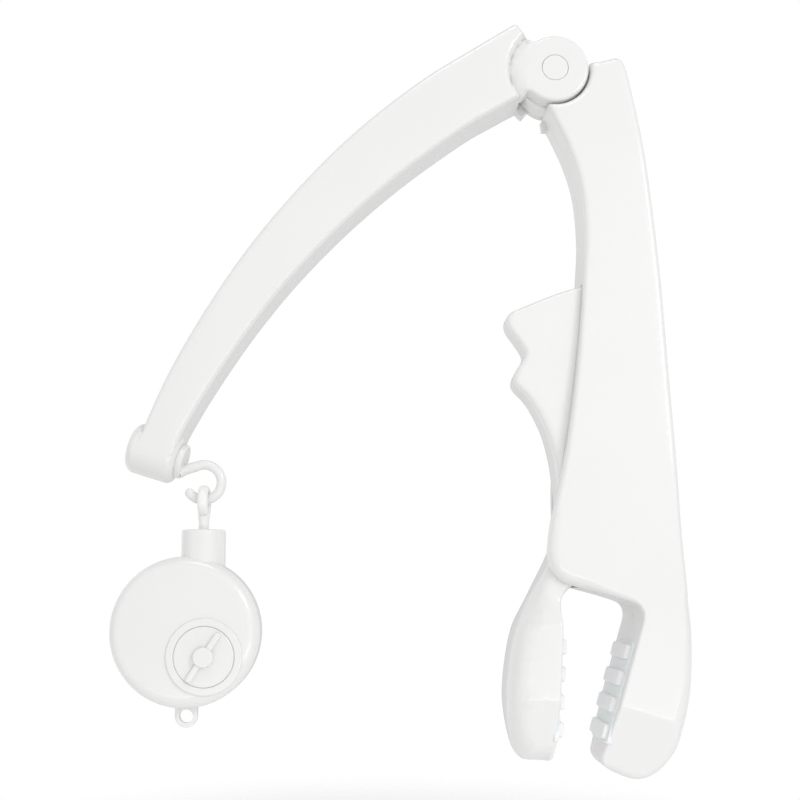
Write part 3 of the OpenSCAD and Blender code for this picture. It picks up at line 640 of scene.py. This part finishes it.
def lever():
    raw = spline(LEVER_HANDLE + LEVER_JAW) + [np.array(q) for q in LEVER_FACE] + spline(LEVER_INNER)
    outline = softened(raw, 0.7)
    halves = []
    for side in (-1, 1):
        rows = crease_rows((-22, LEVER_CREASE_Z), 0, 14) + crease_rows((-20, FLARE_Z[1]), 0, 14)
        halves.append(moulding("clamp_lever_moulding", outline, lever_face, lever_edge, back=0, side=side,
                               lines=rows, chamfer=0.0))
    whole = joined("clamp_lever_moulding", halves)
    for side in (-1, 1):
        hollow = moulding("cutter", evenly(LEVER_HOLLOW, 3), lambda p: lever_depth(p[:, 1]) - LEVER_WALL,
                          even(0.5), back=-0.5, side=side, spacing=7)
        whole = combine(whole, hollow)
    return finish_piece(whole, "lever", "white_shell", WHITE, "clamp_lever")


def joined(name, objects):
    """Mirror halves welded along the plane y = 0 into one closed mesh."""
    bm = bmesh.new()
    for obj in objects:
        bm.from_mesh(obj.data)
        bpy.data.objects.remove(obj)
    flat = [f for f in bm.faces if all(abs(v.co.y) < 1e-7 for v in f.verts)]
    bmesh.ops.delete(bm, geom=flat, context="FACES")
    bmesh.ops.remove_doubles(bm, verts=bm.verts, dist=2e-6)
    bmesh.ops.recalc_face_normals(bm, faces=bm.faces)
    mesh = bpy.data.meshes.new(name)
    bm.to_mesh(mesh)
    bm.free()
    obj = bpy.data.objects.new(name, mesh)
    bpy.context.scene.collection.objects.link(obj)
    return obj


lever()


# ---------------------------------------------------------------- jaw pads
PAD_BASE = 2.2
PAD_SUNK = 1.6
PAD_HALF = 15.5
PAD_START = 1
PAD_CORNER_R = 1.5
RIB_START = 2.6
RIB_W = 7
RIB_PITCH = 12.3
RIB_HALF = 13.2
RIB_H = 2.2
RIB_RIM_R = 0.9
RIBS = 4


def pad_outline(half_width, start, end, step):
    corners = [(-half_width, start), (half_width, start), (half_width, end), (-half_width, end)]
    return evenly(rounded_corners([(x, z, PAD_CORNER_R) for x, z in corners]), step)


def jaw_pad(name, face, side, body, node):
    """Base with rounded bars across it, lying on the jaw face; side is +1 where it faces -X."""
    (x0, z0), (x1, z1) = face
    lean = math.atan2(x1 - x0, z1 - z0)
    place = Matrix.Translation((x0, 0, z0)) @ Matrix.Rotation(lean, 4, "Y")
    if side < 0:
        place = place @ Matrix.Scale(-1, 4, (1, 0, 0))
    turn = Matrix(((0, 1, 0, 0), (1, 0, 0, 0), (0, 0, 1, 0), (0, 0, 0, 1)))
    length = (RIBS - 1) * RIB_PITCH + 2 * RIB_START + RIB_W - 2 * PAD_START
    proud = PAD_BASE - PAD_SUNK
    pad = moulding(name, pad_outline(PAD_HALF, PAD_START, PAD_START + length, 0.8), even(proud), even(0.5),
                   back=-PAD_SUNK, side=-1, spacing=3, place=place @ turn)
    for i in range(RIBS):
        z = RIB_START + RIB_W / 2 + i * RIB_PITCH
        bar = pad_outline(RIB_HALF, z - RIB_W / 2, z + RIB_W / 2, 0.6)
        rib = moulding("rib", bar, even(proud + RIB_H), even(RIB_RIM_R), back=proud - 0.3, side=-1,
                       spacing=1.5, chamfer=0.0, place=place @ turn)
        pad = combine(pad, rib, "UNION")
    return finish_piece(pad, body, "soft_pad", PAD, node)


jaw_pad("fixed_jaw_ribbed_pad", JAW_FACE, 1, "post", "fixed_jaw_pad")
jaw_pad("moving_jaw_ribbed_pad", LEVER_FACE, -1, "lever", "moving_jaw_pad")


# ---------------------------------------------------------------- folding arm
GROOVE_R = NECK_R - 0.2
NECK_HALF = ARM_HALF - 0.9
BOSS_END_R = 4.8
BOSS_MOUTH_R = 3.6
BOSS_BORE_R = 4.7
BUSH_SEAT_R = 5.4
BUSH_SEAT = BOSS_LEN - 9
ARM_STOP_Y = (5.0, 10.4)
ARM_STOP_ANGLES = (213, 231)
ALONG_BOSS = Matrix.Translation((BOSS_START[0], 0, BOSS_START[1])) @ Matrix.Rotation(
    math.radians(90 + BOSS_TILT), 4, "Y")


def arm_face(p):
    """Flat face with a soft groove between the arm and the hinge's neck."""
    r = np.linalg.norm(p - np.array(HINGE), axis=1)
    neck = NECK_HALF + (ARM_HALF - NECK_HALF) * smooth_step(-r, -NECK_R, -HINGE_R - 0.5)
    face = np.where(r < GROOVE_R, neck, ARM_HALF)
    inner = 2.0 * np.exp(-np.maximum(0, GROOVE_R - r) / 0.9)
    outer = 3.2 * np.maximum(0, 1 - np.maximum(0, r - GROOVE_R) / 2.6) ** 2.4
    return face - np.where(r < GROOVE_R, inner + 1.2, np.maximum(outer, 0)) * (r > HINGE_R + 0.5) * (
        np.abs(r - GROOVE_R) < 3)


def arm_edge(p):
    r = np.linalg.norm(p - np.array(HINGE), axis=1)
    slope = math.radians(BOSS_TILT)
    over_boss = (p[:, 0] - BOSS_START[0]) * math.sin(slope) + (p[:, 1] - BOSS_START[1]) * math.cos(slope)
    return (1.7 + 1.1 * smooth_step(r, NECK_R, NECK_R + 4)) * (0.03 + 0.97 * smooth_step(over_boss, 0.5, 9))


def arm_half(side):
    raw = spline(ARM_TOP) + [np.array(q) for q in ARM_END] + spline(ARM_BOTTOM)
    raw += [polar(HINGE, NECK_R, 219), polar(HINGE, NECK_R, 222)]
    raw += arc(HINGE, HINGE_R, 220, 489) + [polar(HINGE, NECK_R, 127), polar(HINGE, NECK_R, 129)]
    rows = [arc(HINGE, GROOVE_R + o, 126, 223, 1.4) for o in (-2.4, -1.2, -0.5, 0.0, 0.5, 1.3, 2.4)]
    name = "arm_front_cover" if side < 0 else "arm_back_cover"
    half = moulding(name, softened(raw, 1.3), arm_face, arm_edge, side=side, lines=rows)
    half = combine(half, rod(HINGE, NECK_R, *sorted((side * -2, side * (KNUCKLE_HALF + KNUCKLE_GAP))), 96))
    boss_edge = rounded_corners([(0, 0, 0), (ARM_HALF, 0, BOSS_END_R), (ARM_HALF, BOSS_LEN, BOSS_MOUTH_R),
                                 (0, BOSS_LEN, 0)], closed=False)
    boss = turned("boss", boss_edge, ALONG_BOSS, 112)
    boss = combine(boss, half_space(-side))
    half = combine(half, boss, "UNION")
    bore = [(0, 3), (BOSS_BORE_R, 3), (BOSS_BORE_R, BUSH_SEAT), (BUSH_SEAT_R, BUSH_SEAT),
            (BUSH_SEAT_R, BOSS_LEN + 1), (0, BOSS_LEN + 1)]
    half = combine(half, turned("cutter", bore, ALONG_BOSS, 64))
    if side < 0:
        half = combine(half, rod(HINGE, BUTTON_R + BUTTON_GAP, -ARM_HALF - 1, -1))
    else:
        half = combine(half, rod(HINGE, BUTTON_R + BUTTON_GAP, ARM_HALF - 2.6, ARM_HALF + 1))
        for place in ARM_SCREWS:
            half = combine(half, rod(place, SCREW_HOLE_R, ARM_HALF - 2.2, ARM_HALF + 1))
        first, last = ARM_STOP_ANGLES
        tab = arc(HINGE, NECK_R, first, last, 1.0) + arc(HINGE, HINGE_R - 1, last, first, 1.0)
        stop = moulding("stop", evenly(tab, 0.7), even(ARM_STOP_Y[1]), even(STOP_RIM_R),
                        back=ARM_STOP_Y[0], side=1, spacing=2)
        half = combine(half, stop, "UNION")
    node = "arm_front_shell" if side < 0 else "arm_back_shell"
    return finish_piece(half, "arm", "white_shell", WHITE, node)


arm_half(-1)
arm_half(1)


# ---------------------------------------------------------------- hinge
def disc_profile(radius, y0, y1, r0, r1):
    """Solid disc between two heights with its two rims rounded by r0 and r1."""
    return rounded_corners([(0, y0, 0), (radius, y0, r0), (radius, y1, r1), (0, y1, 0)], closed=False)


DETENT_LOW, DETENT_HIGH = box_mm("detent_ring")
POCKET_R = (DETENT_HIGH.x - DETENT_LOW.x) / 2 + 0.1
BUTTON_END = -5.4
POCKET_END = box_mm("lock_gear")[1].y + JOINTS["button_press"]["range_m"][1] / MM + 0.2

barrel_profile = disc_profile(BARREL_R, -KNUCKLE_HALF, KNUCKLE_HALF, 0.12, 0.12)
knuckle = turned("hinge_barrel", barrel_profile, along_y(HINGE), 128)
knuckle = combine(knuckle, rod(HINGE, POCKET_R, -KNUCKLE_HALF - 1, POCKET_END, 96))
finish_piece(knuckle, "post", "white_resin", RESIN, "hinge_knuckle")
button_profile = disc_profile(BUTTON_R, -ARM_HALF - 0.2, BUTTON_END, 0.45, 0.2)
button = turned("hinge_button", button_profile, along_y(HINGE), 96)
finish_piece(button, "button", "white_shell", WHITE, "release_button")
cap_profile = disc_profile(BUTTON_R, ARM_HALF - 2.2, ARM_HALF - 0.1, 0.2, 0.6)
cap = turned("hinge_cap", cap_profile, along_y(HINGE), 96)
finish_piece(cap, "arm", "white_shell", WHITE, "hinge_back_cap")


# ---------------------------------------------------------------- hook and eye
HOOK_R = 8.3
HOOK_WIRE_R = 2.3
HOOK_TIP = 218
HOOK_SHANK = 110
FLANGE_R = 8.2
FLANGE_T = 2.9
FLANGE_GAP = 0.05


def hook():
    ring = np.array(HOOK_RING)
    flat = arc(ring, HOOK_R, HOOK_TIP, 360 + HOOK_SHANK, 0.7)
    path = [np.array([x, 0, z]) for x, z in flat]
    radii = [HOOK_WIRE_R] * len(path)
    start_way = path[0] - path[1]
    tip, tip_radii = round_end(path[0], start_way / np.linalg.norm(start_way), HOOK_WIRE_R)
    end_way = path[-1] - path[-2]
    end_way /= np.linalg.norm(end_way)
    shank_steps = np.arange(0.8, 9.2, 0.8)
    shank = [path[-1] + end_way * s for s in shank_steps]
    flare = [HOOK_WIRE_R + 0.1 + 0.5 * max(0, s - 5.2) ** 2 / 9 for s in shank_steps]
    wire = tube("hook_moulding", tip[::-1] + path + shank, tip_radii[::-1] + radii + flare)
    near, far = BOSS_LEN + FLANGE_GAP, BOSS_LEN + FLANGE_T
    shaft = [(0, 8, 0), (4.3, 8, 0.4), (4.3, 10.4, 0.4), (3, 10.4, 0), (3, near, 0), (FLANGE_R, near, 0.1),
             (FLANGE_R, far, 1.1), (0, far, 0)]
    flange = turned("flange", rounded_corners(shaft, closed=False), ALONG_BOSS, 80)
    whole = combine(wire, flange, "UNION")
    return finish_piece(whole, "hook", "white_shell", WHITE, "hook")


hook()

EYE_HIGH = box_mm("eye_stem")[1]
EYE_HALF_W = 2.4
EYE_CORNER_R = 1.9
EYE_TUBE_R = 2.1
EYE_RING_R = EYE_HIGH.y - EYE_TUBE_R
EYE_Z = EYE_HIGH.z - EYE_HIGH.y
STEM_R = 2.35
STEM_END = 62


ON_STEM = Matrix.Translation((STEM_X, 0, 0))


def eye():
    """Flat-sided ring seen edge-on, whose waist flows into the stem."""
    inner, outer = EYE_RING_R - EYE_TUBE_R, EYE_RING_R + EYE_TUBE_R
    section = rounded_corners([(inner, -EYE_HALF_W, EYE_CORNER_R), (outer, -EYE_HALF_W, EYE_CORNER_R),
                               (outer, EYE_HALF_W, EYE_CORNER_R), (inner, EYE_HALF_W, EYE_CORNER_R)])
    place = Matrix.Translation((STEM_X, 0, EYE_Z)) @ Matrix.Rotation(math.radians(90), 4, "Y")
    ring = turned("eye_and_stem", section, place, 72)
    top = EYE_Z - EYE_RING_R
    heights = np.linspace(STEM_END, top, 24)
    widths = [STEM_R + 0.55 * smooth_step(z, top - 5, top) for z in heights]
    stem = tube("stem", [np.array([STEM_X, 0, z]) for z in heights], widths)
    ring = combine(ring, stem, "UNION")
    collar = turned("collar", [(0, 66), (4.2, 66), (4.2, 68.6), (0, 68.6)], ON_STEM, 48)
    return finish_piece(combine(ring, collar, "UNION"), "eye", "white_resin", RESIN, "eye_stem")


eye()

# ---------------------------------------------------------------- music pod
POD_LOW, POD_HIGH = box_mm("pod_front_shell")
POD_R = (POD_HIGH.x - POD_LOW.x) / 2
POD = ((POD_LOW.x + POD_HIGH.x) / 2, POD_LOW.z + POD_R)
POD_HALF = box_mm("pod_back_shell")[1].y
POD_WALL = 2.2
NECK_LOW, NECK_HIGH = box_mm("neck_collar")
NECK_COLLAR_R = (NECK_HIGH.x - NECK_LOW.x) / 2
POD_SCREW_ANGLES = (20, 125, 235)
POD_SCREW_RING = 27
LUG_Z = box_mm("pod_back_shell")[0].z + 5.2
LUG_R = 5.2
LUG_T = 3.2
LUG_HOLE_R = 3.1
POD_FILLET = 5.6
LIP_INNER = 13.8
LIP_OUTER = 17.4
LIP_H = 1.1
KNOB_R = 13.74
KEY_HUB_R = 4.6
KEY_BAR = (13, 1.3)
KEY_TURN = 57


def without_neck(shell):
    """The casing with the neck's seat cut out of it."""
    r = NECK_COLLAR_R + 0.05
    seat = [(0, NECK_LOW.z), (r, NECK_LOW.z), (r, NECK_HIGH.z), (0, NECK_HIGH.z)]
    return combine(shell, turned("cutter", seat, ON_STEM, 96))


def pod_front():
    rim = POD_R - POD_WALL
    outer = [(0, -POD_HALF, 0), (POD_R, -POD_HALF, POD_FILLET), (POD_R, -0.25, 0), (POD_R - 0.25, 0, 0)]
    inner = [(rim, 0, 0), (rim, POD_WALL - POD_HALF, 1), (0, POD_WALL - POD_HALF, 0)]
    shell = turned("pod_face", rounded_corners(outer + inner, closed=False), along_y(POD), 160)
    lip = rounded_corners([(LIP_INNER, -POD_HALF - LIP_H, 0.6), (LIP_OUTER, -POD_HALF - LIP_H, 0.8),
                           (LIP_OUTER, 0.8 - POD_HALF, 0), (LIP_INNER, 0.8 - POD_HALF, 0)])
    shell = combine(shell, turned("lip", lip, along_y(KEY), 128), "UNION")
    shell = combine(shell, rod(KEY, 3.4, -POD_HALF - 2, 0))
    return finish_piece(without_neck(shell), "pod", "white_shell", WHITE, "pod_front_shell")


def pod_back():
    bulge = [(24 + (POD_R - 24) * math.cos(a), 2 + (POD_HALF - 2) * math.sin(a))
             for a in [math.radians(t) for t in range(90, -1, -5)]]
    hollow = [(24 + (POD_R - POD_WALL - 24) * math.cos(a), 2 + (POD_HALF - POD_WALL - 2) * math.sin(a))
              for a in [math.radians(t) for t in range(0, 91, 6)]]
    profile = [(0, POD_HALF)] + bulge + [(POD_R, 0.25), (POD_R - 0.25, 0), (POD_R - POD_WALL, 0)] + hollow
    shell = turned("pod_back", profile + [(0, POD_HALF - POD_WALL)], along_y(POD), 160)
    lug = arc((POD[0], LUG_Z), LUG_R, 180, 360, 0.5)
    lug += [np.array([POD[0] + LUG_R, LUG_Z + 6.5]), np.array([POD[0] - LUG_R, LUG_Z + 6.5])]
    tag = moulding("lug", evenly(lug, 0.5), even(LUG_T), even(0.7), back=0.0, side=1, spacing=1.6,
                   chamfer=0.4)
    shell = combine(shell, tag, "UNION")
    shell = combine(shell, rod((POD[0], LUG_Z), LUG_HOLE_R, -1, LUG_T + 1))
    for angle in POD_SCREW_ANGLES:
        shell = combine(shell, rod(polar(POD, POD_SCREW_RING, angle), 2.5, POD_HALF - 3.4, POD_HALF + 1, 40))
    return finish_piece(without_neck(shell), "pod", "white_shell", WHITE, "pod_back_shell")


def neck():
    profile = [(STEM_R + 0.5, NECK_LOW.z, 0), (NECK_COLLAR_R, NECK_LOW.z, 0.3),
               (NECK_COLLAR_R, NECK_HIGH.z, 1.1), (STEM_R + 0.5, NECK_HIGH.z, 0.5)]
    collar = turned("pod_neck", rounded_corners(profile), ON_STEM, 112)
    hollow = [(0, NECK_LOW.z - 1), (7.6, NECK_LOW.z - 1), (7.6, 70), (0, 70)]
    collar = combine(collar, turned("cutter", hollow, ON_STEM, 64))
    return finish_piece(collar, "pod", "white_shell", WHITE, "neck_collar")


def winding_key():
    face = -POD_HALF - 1.2
    disc = turned("winding_knob", disc_profile(KNOB_R, face, -POD_HALF - 0.25, 0.7, 0.2), along_y(KEY), 128)
    hub = turned("hub", disc_profile(KEY_HUB_R, -POD_HALF - 4.2, face + 0.4, 0.7, 0), along_y(KEY), 80)
    shaft = turned("shaft", disc_profile(3.2, face + 0.3, -9, 0, 0), along_y(KEY), 48)
    a, b = KEY_BAR
    bar = evenly(rounded_corners([(-a, -b, 1.2), (a, -b, 1.2), (a, b, 1.2), (-a, b, 1.2)]), 0.35)
    place = Matrix.Translation((KEY[0], 0, KEY[1])) @ Matrix.Rotation(math.radians(-KEY_TURN), 4, "Y")
    blade = moulding("blade", bar, even(POD_HALF + 3.3), even(0.45), back=POD_HALF + 0.8, side=-1,
                     spacing=0.8, chamfer=0.0, place=place)
    for other in (hub, shaft, blade):
        disc = combine(disc, other, "UNION")
    return finish_piece(disc, "key", "white_shell", WHITE, "winding_key")


pod_front()
pod_back()
neck()
winding_key()

# ---------------------------------------------------------------- CAD pieces that stay
KEPT = {
    STEEL: ["jaw_pivot_pin", "jaw_torsion_spring", "post_screws", "hinge_axle", "arm_screws", "button_spring",
            "stem_washer", "pod_screws", "comb", "key_arbor"],
    PLATE: ["movement_plate", "movement_bridge"],
    BRASS: ["comb_block", "spring_drum", "pin_cylinder", "governor"],
    RESIN: ["detent_ring", "hook_bush", "lock_gear"],
}
for material, names in KEPT.items():
    for name in names:
        mesh = frame["nodes"][name].data
        mesh.materials.clear()
        mesh.materials.append(material)

# ---------------------------------------------------------------- floor, light and camera
CENTRE = Vector(((cad_bounds[0][0] + cad_bounds[1][0]) / 2, 0, 0.13))
FLOOR_DROP = 0.06
FLOOR_FADE = (0.14, 0.34)


def studio_floor():
    """Pale round floor under the object that fades out into the white backdrop."""
    bpy.ops.mesh.primitive_circle_add(vertices=96, radius=FLOOR_FADE[1] + 0.02, fill_type="NGON",
                                      location=(CENTRE.x, 0, cad_bounds[0][2] - FLOOR_DROP))
    floor = bpy.context.object
    floor.name = "studio_floor"
    material = bpy.data.materials.new("pale_floor")
    material.use_nodes = True
    tree = material.node_tree
    shader = tree.nodes["Principled BSDF"]
    shader.inputs["Base Color"].default_value = (0.66, 0.66, 0.66, 1)
    shader.inputs["Roughness"].default_value = 0.8
    shader.inputs["Emission Color"].default_value = (1, 1, 1, 1)
    shader.inputs["Emission Strength"].default_value = 0.3
    place = tree.nodes.new("ShaderNodeTexCoord")
    ball = tree.nodes.new("ShaderNodeVectorMath")
    ball.operation = "LENGTH"
    fade = tree.nodes.new("ShaderNodeMapRange")
    fade.interpolation_type = "SMOOTHSTEP"
    fade.inputs["From Min"].default_value, fade.inputs["From Max"].default_value = FLOOR_FADE
    clear = tree.nodes.new("ShaderNodeBsdfTransparent")
    mix = tree.nodes.new("ShaderNodeMixShader")
    tree.links.new(place.outputs["Object"], ball.inputs[0])
    tree.links.new(ball.outputs["Value"], fade.inputs["Value"])
    tree.links.new(fade.outputs["Result"], mix.inputs["Fac"])
    tree.links.new(shader.outputs["BSDF"], mix.inputs[1])
    tree.links.new(clear.outputs["BSDF"], mix.inputs[2])
    tree.links.new(mix.outputs["Shader"], tree.nodes["Material Output"].inputs["Surface"])
    floor.data.materials.append(material)


def area_light(name, azimuth, elevation, size, power, distance=1.2):
    """Rectangle of light aimed at the object; azimuth 0 is the front and grows to the right."""
    a, e = math.radians(azimuth), math.radians(elevation)
    place = distance * Vector((math.sin(a) * math.cos(e), -math.cos(a) * math.cos(e), math.sin(e)))
    light = bpy.data.lights.new(name, "AREA")
    light.shape = "RECTANGLE"
    light.size, light.size_y = size
    light.energy = power
    obj = bpy.data.objects.new(name, light)
    obj.location = CENTRE + place
    obj.rotation_euler = (-place).to_track_quat("-Z", "Y").to_euler()
    bpy.context.scene.collection.objects.link(obj)


# Each soft patch of the dome: its direction, the cosines where it is dark and where it is full, its strength.
DOME_LOBES = [((0, -1, 0), 0, 0.9, 0.4), ((-1, 0, 0), 0, 0.9, 0.68), ((1, 0, 0), 0, 0.9, 0.5),
              ((0, 1, 0), 0, 0.9, 0.56), ((0, 0, 1), -0.1, 0.8, 0.2), ((0, 0, -1), -0.1, 0.6, 0.12)]


def studio_world():
    """White backdrop to the eye; as light, a soft dome, brightest at the left and dim above and below."""
    world = bpy.data.worlds.new("studio")
    bpy.context.scene.world = world
    world.use_nodes = True
    tree = world.node_tree
    tree.nodes.clear()
    seen = tree.nodes.new("ShaderNodeBackground")
    dome = tree.nodes.new("ShaderNodeBackground")
    for background in (seen, dome):
        background.inputs["Color"].default_value = (1, 1, 1, 1)
    place = tree.nodes.new("ShaderNodeTexCoord")
    total = None
    for axis, dark, bright, strength in DOME_LOBES:
        facing = tree.nodes.new("ShaderNodeVectorMath")
        facing.operation = "DOT_PRODUCT"
        facing.inputs[1].default_value = axis
        lobe = tree.nodes.new("ShaderNodeMapRange")
        lobe.interpolation_type = "SMOOTHSTEP"
        lobe.inputs["From Min"].default_value, lobe.inputs["From Max"].default_value = dark, bright
        lobe.inputs["To Max"].default_value = strength
        tree.links.new(place.outputs["Generated"], facing.inputs[0])
        tree.links.new(facing.outputs["Value"], lobe.inputs["Value"])
        if total is None:
            total = lobe.outputs["Result"]
            continue
        add = tree.nodes.new("ShaderNodeMath")
        tree.links.new(total, add.inputs[0])
        tree.links.new(lobe.outputs["Result"], add.inputs[1])
        total = add.outputs[0]
    tree.links.new(total, dome.inputs["Strength"])
    path = tree.nodes.new("ShaderNodeLightPath")
    mix = tree.nodes.new("ShaderNodeMixShader")
    out = tree.nodes.new("ShaderNodeOutputWorld")
    tree.links.new(path.outputs["Is Camera Ray"], mix.inputs["Fac"])
    tree.links.new(dome.outputs["Background"], mix.inputs[1])
    tree.links.new(seen.outputs["Background"], mix.inputs[2])
    tree.links.new(mix.outputs["Shader"], out.inputs["Surface"])


def camera():
    lens = bpy.data.cameras.new("camera")
    lens.lens = 45.95
    lens.sensor_width = 36
    lens.shift_x, lens.shift_y = 0.0412, 0.1116
    obj = bpy.data.objects.new("camera", lens)
    obj.location = (-0.0976, -0.4779, 0.0511)
    obj.rotation_euler = (math.radians(95.182), 0, 0)
    bpy.context.scene.collection.objects.link(obj)
    bpy.context.scene.camera = obj


studio_floor()
studio_world()
area_light("key_light", 38, 20, (0.3, 0.3), 2.4)
area_light("front_light", 14, 5, (1.3, 1.0), 2.1)
area_light("top_light", 0, 62, (0.5, 0.5), 2.1)
area_light("low_strip", 12, -20, (1.4, 0.12), 2.0)
camera()
bpy.context.scene.view_settings.view_transform = "Standard"
